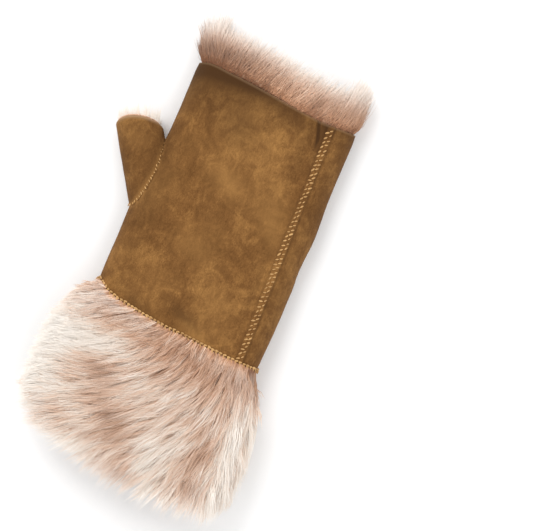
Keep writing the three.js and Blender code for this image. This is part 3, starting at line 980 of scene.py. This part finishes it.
fringe = {
    "hairs": 13500,
    "length": 9.5 * mm,
    "lengths": (0.65, 1.1),
    "longest": 20 * mm,
    "width": 0.36 * mm,
    "widths": (0.6, 1.2),
    "steps": (0.415, 0.79),  # where it grows on the lining's profile
    "perClump": 22,
    "clump": 0.1,
    "loose": 0.17,
    "wave": 0.7 * mm,
    "gather": 0.14,
    "spread": {"across": [-58, -40, 30, 50], "much": [0.45, 0.4, 0.4, 0.05]},
    "lean": {"across": [-57, -44, -15, 30, 46, 57], "much": [-0.36, 0.05, 0.42, 0.4, 0.1, -0.2]},
    "ends": (1.05, 1.85),  # how much longer the hair of both ends is
    "wisps": 0.1,
    "wispLength": 1.45,
    "tint": 0.52,
    "tintPast": 0.008,  # paler with each millimetre past the hem
    "leftDark": 0.5,
    "rightDark": 0.24,
    "blotches": 0.34,
    "blotch": 9 * mm,
    "hemShade": 0.1,
    "pale": (0.14, 0.2, 0.75),  # at the root, what the tip adds, and what the fringe's own edge adds
}
thumbFringe = {
    "hairs": 1700,
    "length": 6.5 * mm,
    "lengths": (0.5, 1.3),
    "widths": (0.6, 1.0),
    "inset": (2.0, 5.6),  # millimetres in from the hide's face
    "past": (-1.5, 1.2),  # millimetres beyond the hem
    "perClump": 12,
    "tint": 0.86,
    "pale": (0.3, 1.0),  # at the root and at the tip
    "wave": 0.4 * mm,
}


def makeFingerFringe():
    count, stations = fringe["hairs"], 3
    share = dice.random(count)
    step = dice.uniform(*fringe["steps"], count)
    low, beside = woolPoints(share, step), woolPoints(share + 0.004, step)
    out = unit(np.cross(woolPoints(share, step + 0.01) - low, beside - low))
    out = awayOf((0, 60 * mm, 14 * mm), low, out)
    nearest, middles, tilt = clumped(low, fringe["perClump"], lambda n: dice.normal(size=(n, 3)))
    x, past = low[:, 0], (low[:, 1] - hemY(low[:, 0])) / mm
    lean = strength(fringe["lean"], x)
    lean = np.stack([lean, 0 * lean + 1, 0 * lean], 1)
    spread = strength(fringe["spread"], x) * np.clip(past / 6, 0.5, 1)
    ways = lean + spread[:, None] * out + fringe["clump"] * tilt
    ways = unit(ways + fringe["loose"] * dice.normal(size=(count, 3)))
    lengths = fringe["length"] * dice.uniform(*fringe["lengths"], count) * np.clip(0.8 + past / 60, 0.5, 1.05)
    ends = (np.abs(x + 3 * mm) > 44 * mm) & (past > 8.5)
    lengths[ends] *= dice.uniform(*fringe["ends"], ends.sum())
    lengths[dice.random(count) < fringe["wisps"]] *= fringe["wispLength"]
    lengths = np.minimum(lengths, fringe["longest"])
    steps = np.linspace(0, 1, stations)[None, :, None]
    paths = grown(low, ways, lengths, lean, stations, fringe["wave"])
    tips = low[middles][nearest] + ways[middles][nearest] * lengths[:, None] * 1.1
    pull = steps**1.6 * fringe["gather"]
    paths = offTable(paths * (1 - pull) + (tips[:, None] * steps + low[:, None] * (1 - steps)) * pull)
    tint = fringe["tint"] + fringe["tintPast"] * past + 0.05 * tilt[:, 0] + dice.normal(0, 0.07, count)
    tint -= fringe["leftDark"] * ramped(x / mm, 14, -45) * np.clip(1.15 - past / 17, 0, 1)
    tint -= fringe["rightDark"] * ramped(x / mm, 8, 25) * np.clip(1.2 - past / 17, 0, 1)
    blotch = np.clip(ripple(low, fringe["blotch"], 61), 0, 1)
    tint -= fringe["blotches"] * blotch * np.clip(1.2 - past / 14, 0, 1)
    # painted shade: hairs close to the hem get a darker tint, and their stations less paleness
    tint -= fringe["hemShade"] * ramped(past, 6, -6)
    rim = (paths[..., 1] - hemY(paths[..., 0])) / mm
    root, tip, edge = fringe["pale"]
    pale = root + tip * steps[..., 0] + edge * ramped(rim, 12, 11) ** 1.2 - 0.25 * ramped(rim, 5, -5)
    widths = fringe["width"] * dice.uniform(*fringe["widths"], count)
    up = outwards(out, np.sign(low[:, 2:3] - 14 * mm))
    piece = strands("finger_fringe", paths, widths, up, tint, pale)
    dressed(piece, woolHair, "wool")


def makeThumbFringe():
    count, stations = thumbFringe["hairs"], 4
    share = dice.random(count)
    inset = dice.uniform(*thumbFringe["inset"], count) * mm
    roots = pastThumb(share, dice.uniform(*thumbFringe["past"], count) * mm, inset)
    out = thumbOut(share)
    tilt = clumped(roots, thumbFringe["perClump"], lambda n: dice.normal(size=(n, 3)))[2]
    ways = unit(thumbAxis + 0.16 * out + 0.2 * tilt + 0.12 * dice.normal(size=(count, 3)))
    lengths = thumbFringe["length"] * dice.uniform(*thumbFringe["lengths"], count) * (1 + 0.25 * tilt[:, 1])
    bend = np.tile([0.0, 1.0, 0.0], (count, 1))
    paths = offTable(grown(roots, ways, lengths, bend, stations, thumbFringe["wave"]))
    tint = thumbFringe["tint"] + 0.08 * tilt[:, 0] + dice.normal(0, 0.06, count)
    pale = np.tile(np.linspace(*thumbFringe["pale"], stations), (count, 1))
    widths = fringe["width"] * dice.uniform(*thumbFringe["widths"], count)
    up = outwards(out, np.sign(roots[:, 2:3] - 13 * mm))
    piece = strands("thumb_fringe", paths, widths, up, tint, pale)
    dressed(piece, woolHair, "wool")


makeFingerFringe()
makeThumbFringe()
print("wool fringes made")

# fur cuff

fur = {
    "topHairs": 32500,
    "topShare": (0.035, 0.465),
    "edgeHairs": 12000,
    "beside": 0.6,  # share of the edge hairs that grow on the two sides, and how far round these reach
    "besideReach": 0.06,
    "underShare": (0.56, 0.94),
    "edgeWider": 1.5,
    "nearSeam": 0.13,  # share of the top's hairs that start close to the seam, and how close
    "squareness": 3.2,  # of the round that the hair's outside makes from side to side
    "coat": 0.34,  # depth of the undercoat in depths of the hair
    "piece": {"top": 11000, "edge": 12000},  # hairs in each mesh
    "perLock": 22,
    "fine": 9,  # steps along the path of a lock
    "length": 38 * mm,
    "lengths": (0.7, 1.04),
    "width": 0.36 * mm,
    "widths": (0.6, 1.15),
    "rootsOut": 0.8 * mm,
    "gather": (0.16, 0.3),  # how far a lock's hairs draw together at the tip, least and spread
    "layers": (0.6, 0.4),
    "drift": 9,  # degrees by which a whole lock strays, and by which it swings
    "swing": (6, 22),
    "sideEase": 0.35,
    "droop": 3 * mm,
    "overSeam": 0.8 * mm,  # the first hairs fill the groove of the seam
    "shortBelow": 13 * mm,  # the hair is shorter down to here from the seam
    "tint": 0.67,
    "patchStrength": 1.35,
    "seamTan": {"across": [-60, -10, 20, 40, 58], "much": [0.2, 0.22, 0.26, 0.27, 0.36]},
    "pale": (0.05, 0.42, 0.92),  # at the root, what the tip adds, and what the outline adds
    "middle": (0.0, -130 * mm),
    "outline": {  # how far the hair reaches from the middle, by the way it points
        "turn": [
            -180, -163, -150, -137, -123, -111, -94, -76, -61, -51, -40, -30,
            -18, 3, 25, 33, 60, 90, 120, 140, 150, 166, 180,
        ],
        "reach": [
            76.5, 79, 81, 67, 59, 57, 56.5, 61, 69, 76, 86, 86,
            80.5, 76, 75.5, 75.5, 60, 56, 62, 84, 84, 77, 76.5,
        ],
    },
    "flowReach": 13.0,  # millimetres
    "flow": [  # x and y in millimetres, and the hair's lean there in degrees from straight down
        (-70, -89, -78), (-57, -82, -60), (-32, -89, -52), (-20, -107, -66), (-57, -114, -84),
        (-72, -132, -88), (-32, -126, -66), (-51, -151, -66), (-70, -158, -66), (-1, -101, -42),
        (17, -93, -15), (17, -114, -40), (-1, -132, -48), (30, -126, -45), (36, -95, -6),
        (49, -101, 2), (64, -99, 24), (61, -126, 9), (74, -126, 12), (54, -145, -6),
        (66, -157, 16), (72, -172, 18), (36, -151, -34), (42, -170, -14), (30, -170, -26),
        (11, -164, -42), (-14, -157, -44), (-20, -176, -26), (-7, -182, -14), (-45, -168, -52),
        (17, -188, -26), (36, -189, -10), (61, -180, 2),
    ],
    "patches": [  # x, y, reach in x and y, turn, how much paler
        (-50, -106, 30, 9, 14, 0.34), (-74, -130, 9, 40, 0, 0.25), (62, -122, 10, 22, -8, 0.2),
        (68, -160, 8, 24, 5, 0.16), (10, -124, 26, 12, 40, 0.04), (18, -160, 12, 18, -25, 0.24),
        (-31, -120, 10, 6, -12, -0.34), (-12, -146, 18, 9, -40, -0.33), (-52, -152, 12, 5, -25, -0.12),
        (48, -142, 5, 12, -24, -0.32), (49, -166, 6, 7, 0, -0.3), (5, -174, 13, 8, 0, -0.28),
        (-40, -88, 34, 10, -8, -0.04), (14, -100, 22, 10, 0, -0.06), (61, -99, 8, 11, 0, -0.3),
        (-60, -140, 18, 8, -20, 0.12), (-38, -176, 14, 8, 0, 0.16),
    ],
}


def flowAt(x, y):
    # the way hair lies, in degrees from straight down, seen from above
    rows = np.array(fur["flow"], float)
    far = (x[:, None] / mm - rows[None, :, 0]) ** 2 + (y[:, None] / mm - rows[None, :, 1]) ** 2
    pull = np.exp(-far / (2 * fur["flowReach"] ** 2)) + 1e-9
    return (pull * rows[None, :, 2]).sum(1) / pull.sum(1)


def furReach(places):
    # how near places are to the outline of the hair: 0 in the middle, 1 on the outline
    dx, dy = places[..., 0] - fur["middle"][0], places[..., 1] - fur["middle"][1]
    turn = np.degrees(np.arctan2(dy, dx))
    return np.hypot(dx, dy) / (np.interp(turn, fur["outline"]["turn"], fur["outline"]["reach"]) * mm)


def furDepth(along):
    return read(cuff["rise"], "depth", along) * cuff["hair"]


def furHeight(x, y, layer, above):
    # the height of a layer of the hair over the cuff, from the hide, 0, to the outside, 1
    along = np.clip((seamY(x) - y) / cuff["length"], 0, 1.35)
    section, depth = cuffSection(np.minimum(along, 1)), furDepth(along)
    middle = section["lift"] + section["radius"]
    wide = (section["left"] + section["right"]) / 2 + depth
    away = np.clip(np.abs(x - (section["right"] - section["left"]) / 2) / wide, 0, 1)
    rounded = (1 - away ** fur["squareness"]) ** (1 / fur["squareness"])
    top = section["radius"] + section["crown"] * (1 - away**2) + 0.82 * depth * layer
    low = section["radius"] + layer * (cuff["underHair"] - 0.4 * mm)
    return np.where(above, middle + top * rounded, middle - low * np.maximum(rounded, 0.75))


def makeCuffHide():
    piece = thickened(laid("cuff_hide", 96, 30, lambda u, v: cuffPoints(u, v, 0 * u)))
    smooth(piece, 40)
    for layer in ("wear", "fold", "raw"):
        shade(piece, layer, np.zeros(len(piece.data.vertices)))
    dressed(piece, suede, "suede", "fur_cuff")


def makeUndercoat():
    def place(u, v):
        outer = (v < 0.5)[:, None]
        loop = np.where(v < 0.5, v * 2, 2 - v * 2) * 1.04
        depth = furDepth(np.clip(loop, 0, 1)) * fur["coat"] * np.clip(loop / 0.1, 0.02, 1)
        places = cuffPoints(u, loop, 0.15 * mm + 0 * u)
        full = cuffPoints(u, loop, depth * (1 + 0.25 * ripple(places, 8 * mm, 17)))
        full[:, 2] = np.maximum(full[:, 2], 0.4 * mm)
        return np.where(outer, full, places)

    piece = facingOut(laid("fur_undercoat", 140, 62, place))
    smooth(piece)
    dressed(piece, furCoat, "fur", "fur_cuff")


def lockPaths(start, stations, sideways):
    # follows the flow of the hair from each root, in steps, seen from above; the hair of the sides
    # lies more towards the mouth of the cuff
    step, count = fur["length"] / (stations - 1), len(start)
    path = [start]
    drift = np.radians(dice.normal(0, fur["drift"], count))
    swing = np.radians(dice.uniform(*fur["swing"], count))
    phase, beat = dice.uniform(0, 6.3, count), dice.uniform(1.5, 3.2, count)
    for k in range(stations - 1):
        here = path[-1]
        lean = np.radians(flowAt(here[:, 0], here[:, 1])) * (1 - fur["sideEase"] * sideways) + drift
        lean = lean + swing * np.sin(phase + beat * k * 0.8)
        path.append(here + step * np.stack([np.sin(lean), -np.cos(lean)], 1))
    return np.stack(path, 1)


def lockLengths(wholes, out, deep):
    # the share of its path after which each lock meets the outline of the hair
    count, stations = wholes.shape[:2]
    edge = furReach(wholes + (out[:, :2] * deep[:, None])[:, None] * 0.8)
    stop = np.concatenate([edge[:, 1:] >= 1.0, np.ones((count, 1), bool)], 1)
    room = (np.argmax(stop, 1) + dice.uniform(0.1, 0.9, count)) / (stations - 1)
    return np.clip(room, 0.2, 1)


def alongPaths(paths, lengths, stations):
    # stations at even steps along each path, up to its length
    last = paths.shape[1] - 1
    at = lengths[:, None] * np.linspace(0, 1, stations)[None] * last
    low = np.clip(at.astype(int), 0, last - 1)
    part = (at - low)[..., None]
    rows = np.arange(len(paths))[:, None]
    return paths[rows, low] * (1 - part) + paths[rows, low + 1] * part


def hairsOf(share, along, stations, width):
    # paths, widths, facing, tint and paleness of the hairs with these roots
    count = len(share)
    roots = cuffPoints(share, along, 0 * share + fur["rootsOut"])
    out = unit(cuffPoints(share, along, 0 * share + 3 * mm) - roots)
    roots[:, 1] += fur["overSeam"] * np.clip(1 - along / 0.03, 0, 1)
    above = share % 1 < 0.5
    # the roots of the top and the underside are parted, so that no lock has hairs of both
    parted = roots + np.where(above, 1.0, -1.0)[:, None] * np.array([0, 0, 40 * mm])
    nearest, middles, values = clumped(parted, fur["perLock"], lambda n: dice.random((n, 4)))
    sideways = np.clip(1.25 * np.hypot(out[:, 0], out[:, 1]) - 0.15, 0, 1)[:, None]
    deep = furDepth(along) * 0.8
    wholes = lockPaths(roots[middles, :2], fur["fine"], sideways[middles, 0])
    lengths = lockLengths(wholes, out[middles], deep[middles])[nearest] * dice.uniform(*fur["lengths"], count)
    nearSeam = np.clip((seamY(roots[:, 0]) - roots[:, 1]) / fur["shortBelow"], 0, 1)
    way = alongPaths(wholes[nearest], lengths * (0.38 + 0.62 * nearSeam), stations)
    steps = np.linspace(0, 1, stations)[None, :, None]
    least, more = fur["gather"]
    gather = 1 - (least + more * values[:, 0])[:, None, None] * steps**1.3
    way = way + (roots[:, None, :2] - roots[middles][nearest][:, None, :2]) * gather
    way = way + steps * dice.normal(0, 1.0 * mm, (count, 1, 2))
    least, more = fur["layers"]
    layer = (least + more * values[:, 1] ** 0.8)[:, None] * dice.uniform(0.85, 1.04, (count, 1))
    rise, stand = (np.sin(np.clip(steps[..., 0] * fast, 0, 1) * math.pi / 2) for fast in (1.5, 1.8))
    height = furHeight(way[..., 0], way[..., 1], layer * rise, above[:, None])
    settle = np.clip(steps[..., 0] * 2.2, 0, 1)
    height = roots[:, 2:3] * (1 - settle) + height * settle
    # the hair of the sides stands off them and droops a little, instead of following the cuff's face
    stand = deep[:, None] * layer * stand
    way = way + out[:, None, :2] * stand[..., None]
    beside = roots[:, 2:3] + out[:, 2:3] * stand - fur["droop"] * steps[..., 0] ** 2
    height = np.maximum(height * (1 - sideways) + beside * sideways, lowest)
    high = ramped(layer[:, 0], 0.55, 0.35)
    patch = fur["patchStrength"] * spots(way[:, -2, 0] / mm, way[:, -2, 1] / mm, fur["patches"])
    tint = fur["tint"] + patch + 0.3 * (values[:, 2] - 0.5) + dice.normal(0, 0.11, count)
    # hairs of the lower layers get a darker tint, and less paleness at their tips, as painted shade deep in
    # the fur
    tint += 0.24 * (high - 0.7) - strength(fur["seamTan"], roots[:, 0]) * (1 - nearSeam)
    root, tip, edge = fur["pale"]
    whiter = (0.3 + 0.7 * nearSeam) * (0.35 + 0.65 * high)
    pale = root + tip * whiter[:, None] * steps[..., 0] ** 1.4
    pale += edge * ramped(furReach(way), 0.68, 0.26) * steps[..., 0] ** 0.7 * (1 - 0.5 * sideways)
    widths = width * dice.uniform(*fur["widths"], count)
    paths = np.concatenate([way, height[..., None]], 2)
    flow = unit((paths[:, -1] - paths[:, 0]) * np.array([1, 1, 0]))
    up = unit(out + np.where(out[:, 2:3] > -0.6, 0.6, -0.6) * np.array([0, 0, 1]) - 0.5 * flow)
    return paths, widths, up, tint, pale


def makeFurHair():
    count = fur["topHairs"]
    along = dice.random(count) ** 0.95
    along[dice.random(count) < fur["nearSeam"]] *= fur["nearSeam"]
    top = hairsOf(dice.uniform(*fur["topShare"], count), along, 4, fur["width"])
    count, reach = fur["edgeHairs"], fur["besideReach"]
    besides = dice.random(count) < fur["beside"]
    sides = dice.choice([0.0, 0.5], count) + dice.uniform(-reach, reach, count)
    share = np.where(besides, sides, dice.uniform(*fur["underShare"], count)) % 1
    edge = hairsOf(share, 0.04 + 0.96 * dice.random(count) ** 0.92, 3, fur["width"] * fur["edgeWider"])
    for name, rows in (("top", top), ("edge", edge)):
        size = fur["piece"][name]
        for n, start in enumerate(range(0, len(rows[1]), size)):
            some = [row[start:start + size] for row in rows]
            dressed(strands(f"fur_hair_{name}_{n + 1}", *some), furHair, "fur")


makeCuffHide()
makeUndercoat()
makeFurHair()
print("fur cuff made")

# stitches

stitch = {
    "cuffPitch": 2.75 * mm,
    "sidePitch": 3.2 * mm,
    "sideRun": (0.985, 0.012),  # from the finger hem to the cuff's seam
    "sideApart": 1.05 * mm,
    "sideShift": 0.85 * mm,
    "sideStep": (0.8 * mm, 0.72 * mm),
    "thumbPitch": 2.3 * mm,
    "bead": (2.55 * mm, 1.4 * mm, 1.05 * mm),  # length, width and height
    "leg": (3.0 * mm, 1.0 * mm, 0.8 * mm),
    "dash": (2.5 * mm, 0.98 * mm, 0.75 * mm),
    "thumbDash": (1.9 * mm, 0.62 * mm, 0.55 * mm),
    "legLean": 28,
    "thumbLean": 62,
    "uneven": {"cuff": 0.14, "side": 0.22, "thumb": 0.28},
    "beadAt": (0.5 * mm, 0.25 * mm),  # from the seam towards the fingers, and up
    "legAt": (-1.0 * mm, 0.3 * mm),
    "dashUp": 0.28 * mm,
    "thumbUp": 0.35 * mm,
}


def bead(size, bend=0.0):
    bpy.ops.object.select_all(action="DESELECT")
    bpy.ops.mesh.primitive_uv_sphere_add(segments=8, ring_count=7, radius=0.5)
    piece = bpy.context.object
    places = placesOf(piece)[:, [2, 0, 1]]
    places[:, 2] += bend * (0.25 - places[:, 0] ** 2)
    setPlaces(piece, places * np.array(size))
    return piece


def framesAt(places, ahead, up):
    ahead = unit(ahead)
    side = unit(np.cross(up, ahead))
    return np.stack([ahead, side, np.cross(ahead, side), places], 2)


def runOf(line):
    return np.concatenate([[0], np.cumsum(np.linalg.norm(np.diff(line, axis=0), axis=1))])


def onLine(at, run, line):
    return np.stack([np.interp(at, run, column) for column in line.T], 1)


def spaced(line, pitch):
    # even places along a line, with the way it runs there
    run = runOf(line)
    at = np.arange(pitch / 2, run[-1], pitch)
    return onLine(at, run, line), unit(onLine(at + pitch / 4, run, line) - onLine(at - pitch / 4, run, line))


def turned(ahead, side, degrees):
    angle = np.radians(degrees)
    return ahead * np.cos(angle) + side * np.sin(angle)


def squareTo(ahead, rows):
    return unit(rows - (rows * ahead).sum(1)[:, None] * ahead)


def makeCuffStitches():
    # beads along the seam, each with a leg that slants down into the hair
    share = np.linspace(0, 1, 500)
    line, inner = handPoints(share, share * 0 + 0.003, -0.3 * mm), handPoints(share, share * 0, 3 * mm)
    places, ahead = spaced(line, stitch["cuffPitch"])
    up = squareTo(ahead, places - onLine(np.linspace(0, 1, len(places)), share, inner))
    side = np.cross(up, ahead)
    flip = np.sign(side[:, 1])[:, None]
    toFingers = side * flip
    uneven = stitch["uneven"]["cuff"]
    pieces = []
    for part, way, bend in (
        ("bead", ahead, 0.0),
        ("leg", turned(-toFingers, ahead * flip, stitch["legLean"]), 1.2),
    ):
        further, higher = stitch[part + "At"]
        frames = framesAt(places + toFingers * further + up * higher, way, up)
        pieces.append(copies(f"cuff_stitch_{part}s", bead(stitch[part], bend), frames, uneven))
    return pieces


def makeSideStitches():
    # each stitch slants over the ridge as two short dashes that dip into the join between them
    steps = np.linspace(*stitch["sideRun"], 300)
    run, pitch = runOf(hidePoints(seamAt(steps), steps)), stitch["sidePitch"]
    along = np.interp(np.arange(pitch / 2, run[-1], pitch), run, steps)
    up = np.tile([0.0, 0.0, 1.0], (len(along), 1))
    frames = []
    for toX in (-1, 1):
        share = seamAt(along) - toX * stitch["sideApart"] / hide["around"]
        shifted = along + toX * stitch["sideShift"] / hand["length"]
        places = hidePoints(share, shifted)
        aside, forward = stitch["sideStep"]
        further = hidePoints(share - toX * aside / hide["around"], shifted + toX * forward / hand["length"])
        frames.append(framesAt(places + up * stitch["dashUp"], unit(further - places) * toX, up))
    frames = np.concatenate(frames)
    return copies("side_stitches", bead(stitch["dash"], 0.8), frames, stitch["uneven"]["side"])


def makeThumbStitches():
    places, ahead = spaced(thumbSeam[:, :3], stitch["thumbPitch"])
    outs = onLine(np.linspace(0, 1, len(places)), np.linspace(0, 1, len(thumbSeam)), thumbSeam[:, 3:])
    outs = awayOf((-30 * mm, 0, 14 * mm), places, outs)
    up = squareTo(ahead, outwards(outs, np.sign(places[:, 2:3] - 14 * mm), 0.4))
    slanted = turned(ahead, np.cross(up, ahead), stitch["thumbLean"])
    frames = framesAt(places + up * stitch["thumbUp"], slanted, up)
    return copies("thumb_stitches", bead(stitch["thumbDash"], 0.8), frames, stitch["uneven"]["thumb"])


for piece in (*makeCuffStitches(), makeSideStitches(), makeThumbStitches()):
    dressed(piece, thread, "thread")
bpy.data.objects.remove(handShape)
print("stitches made")

# table, lights and camera

view = {
    "scale": 0.64 * mm,  # one pixel at the hand's half height
    "pixels": 550,  # across the picture
    "middle": (41.3 * mm, -17.0 * mm),
    "turn": 23.7,  # degrees by which the mitten leans to the right in the picture
    "away": 1.5,
    "halfHeight": 15 * mm,
}
lights = {
    "key": {"place": (-0.75, 0.55, 1.25), "size": 1.0, "power": 12},
    "fill": {"place": (0.9, -0.3, 1.3), "size": 1.4, "power": 6},
}


def makeTable():
    bpy.ops.object.select_all(action="DESELECT")
    bpy.ops.mesh.primitive_plane_add(size=6)
    table = bpy.context.object
    table.name = "table"
    finish = Finish("white_table")
    white = finish.ramp(finish.grain(40 * mm), (0, (0.93, 0.93, 0.93)), (1, (0.95, 0.95, 0.95)))
    finish.set(Base_Color=white, Roughness=0.8)
    table.data.materials.append(finish.material)


def makeLights():
    for name, light in lights.items():
        bpy.ops.object.light_add(type="AREA", location=light["place"])
        lamp = bpy.context.object
        lamp.name = name
        lamp.data.shape = "DISK"
        lamp.data.size = light["size"]
        lamp.data.energy = light["power"]
        lamp.rotation_euler = Vector(light["place"]).to_track_quat("Z", "Y").to_euler()
    world = bpy.data.worlds.new("studio")
    world.use_nodes = True
    sky = world.node_tree.nodes["Background"]
    sky.inputs["Color"].default_value = (1, 1, 1, 1)
    sky.inputs["Strength"].default_value = 0.86
    bpy.context.scene.world = world


def makeCamera():
    x, y = view["middle"]
    bpy.ops.object.camera_add(location=(x, y, view["halfHeight"] + view["away"]))
    camera = bpy.context.object
    camera.rotation_euler = (0, 0, math.radians(view["turn"]))
    camera.data.sensor_fit = "HORIZONTAL"
    camera.data.angle = 2 * math.atan(view["pixels"] * view["scale"] / 2 / view["away"])
    camera.data.clip_end = 10
    bpy.context.scene.camera = camera
    bpy.context.scene.view_settings.view_transform = "Standard"


makeTable()
makeLights()
makeCamera()
print("table, lights and camera made")
